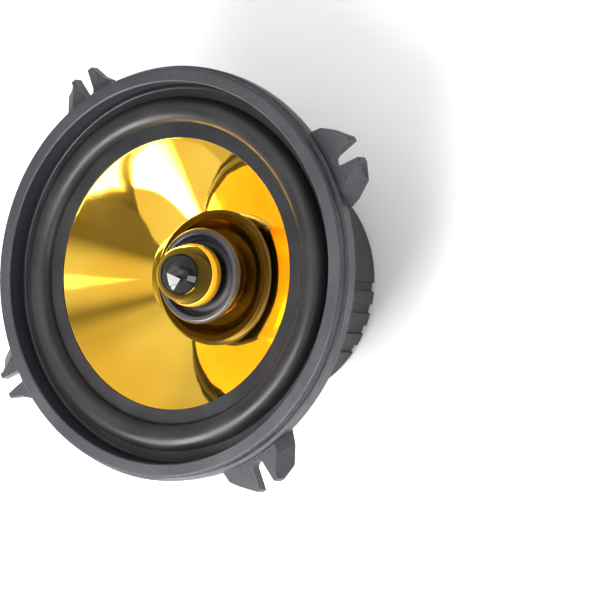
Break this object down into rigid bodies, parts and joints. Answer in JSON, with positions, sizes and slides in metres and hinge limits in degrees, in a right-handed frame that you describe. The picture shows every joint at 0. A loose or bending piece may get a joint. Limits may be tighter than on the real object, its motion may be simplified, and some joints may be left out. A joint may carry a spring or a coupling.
{
  "type": "coaxial car speaker",
  "caption": "Round coaxial car speaker: slotted fork tabs, rubber surround, mirror-gold cone, bullet tweeter on a centre post, windowed basket and ribbed magnet boot.",
  "frame": {"origin": "centre of the magnet boot's underside, where the speaker stands face up", "axes": "+Z along the speaker's axis out of its face; the terminals are on the -Y side; the four tabs are at 45 degrees to X and Y"},
  "size_m": [0.134, 0.134, 0.07],
  "materials": {
    "flange_plastic": "fine moulded grain",
    "basket_paint": "gloss black",
    "surround_rubber": "satin",
    "boot_rubber": "matt, ribbed",
    "cone_gold": "mirror metallised gold",
    "spider_cloth": "resin-treated corrugated cloth",
    "former_foil": "foil",
    "copper_wire": "enamelled copper",
    "zinc_steel": "zinc plated",
    "ferrite": "ground ferrite",
    "nickel": "nickel plated",
    "tweeter_shell": "slate, polished",
    "plug_black": "high gloss black",
    "film": "thin film",
    "board_plastic": "phenolic board",
    "tin_plate": "tin plated",
    "silver_braid": "braided",
    "wire_sleeve": "PVC",
    "capacitor_sleeve": "shrunk sleeve"
  },
  "bodies": {
    "frame": {"flange_ring": "flange_plastic", "basket": "basket_paint", "surround": "surround_rubber", "magnet_boot": "boot_rubber", "spider": "spider_cloth", "back_plate": "zinc_steel", "top_plate": "zinc_steel", "tweeter_yoke": "zinc_steel", "tweeter_top_plate": "zinc_steel", "post_nut": "zinc_steel", "basket_rivets": "zinc_steel", "ring_magnet": "ferrite", "tweeter_magnet": "nickel", "tweeter_housing": "tweeter_shell", "phase_plug": "plug_black", "tweeter_post": "plug_black", "tweeter_diaphragm": "film", "terminal_board": "board_plastic", "terminal_positive": "tin_plate", "terminal_negative": "tin_plate", "board_rivets": "tin_plate", "capacitor_leads": "tin_plate", "tinsel_leads": "silver_braid", "tweeter_leads": "wire_sleeve", "capacitor": "capacitor_sleeve"},
    "cone_assembly": {"cone": "cone_gold", "voice_coil_former": "former_foil", "voice_coil_winding": "copper_wire"},
    "tweeter_voice": {"tweeter_coil": "copper_wire"}
  },
  "joints": [
    {"name": "cone_slide", "type": "slide", "parent": "frame", "child": "cone_assembly", "axis": [0, 0, 1], "range_m": [-0.003, 0.003], "stiffness_N_per_m": 1500, "deforming": ["surround", "spider", "tinsel_leads"]},
    {"name": "tweeter_slide", "type": "slide", "parent": "frame", "child": "tweeter_voice", "axis": [0, 0, 1], "range_m": [-0.00025, 0.00025], "stiffness_N_per_m": 400, "deforming": ["tweeter_diaphragm"]}
  ]
}
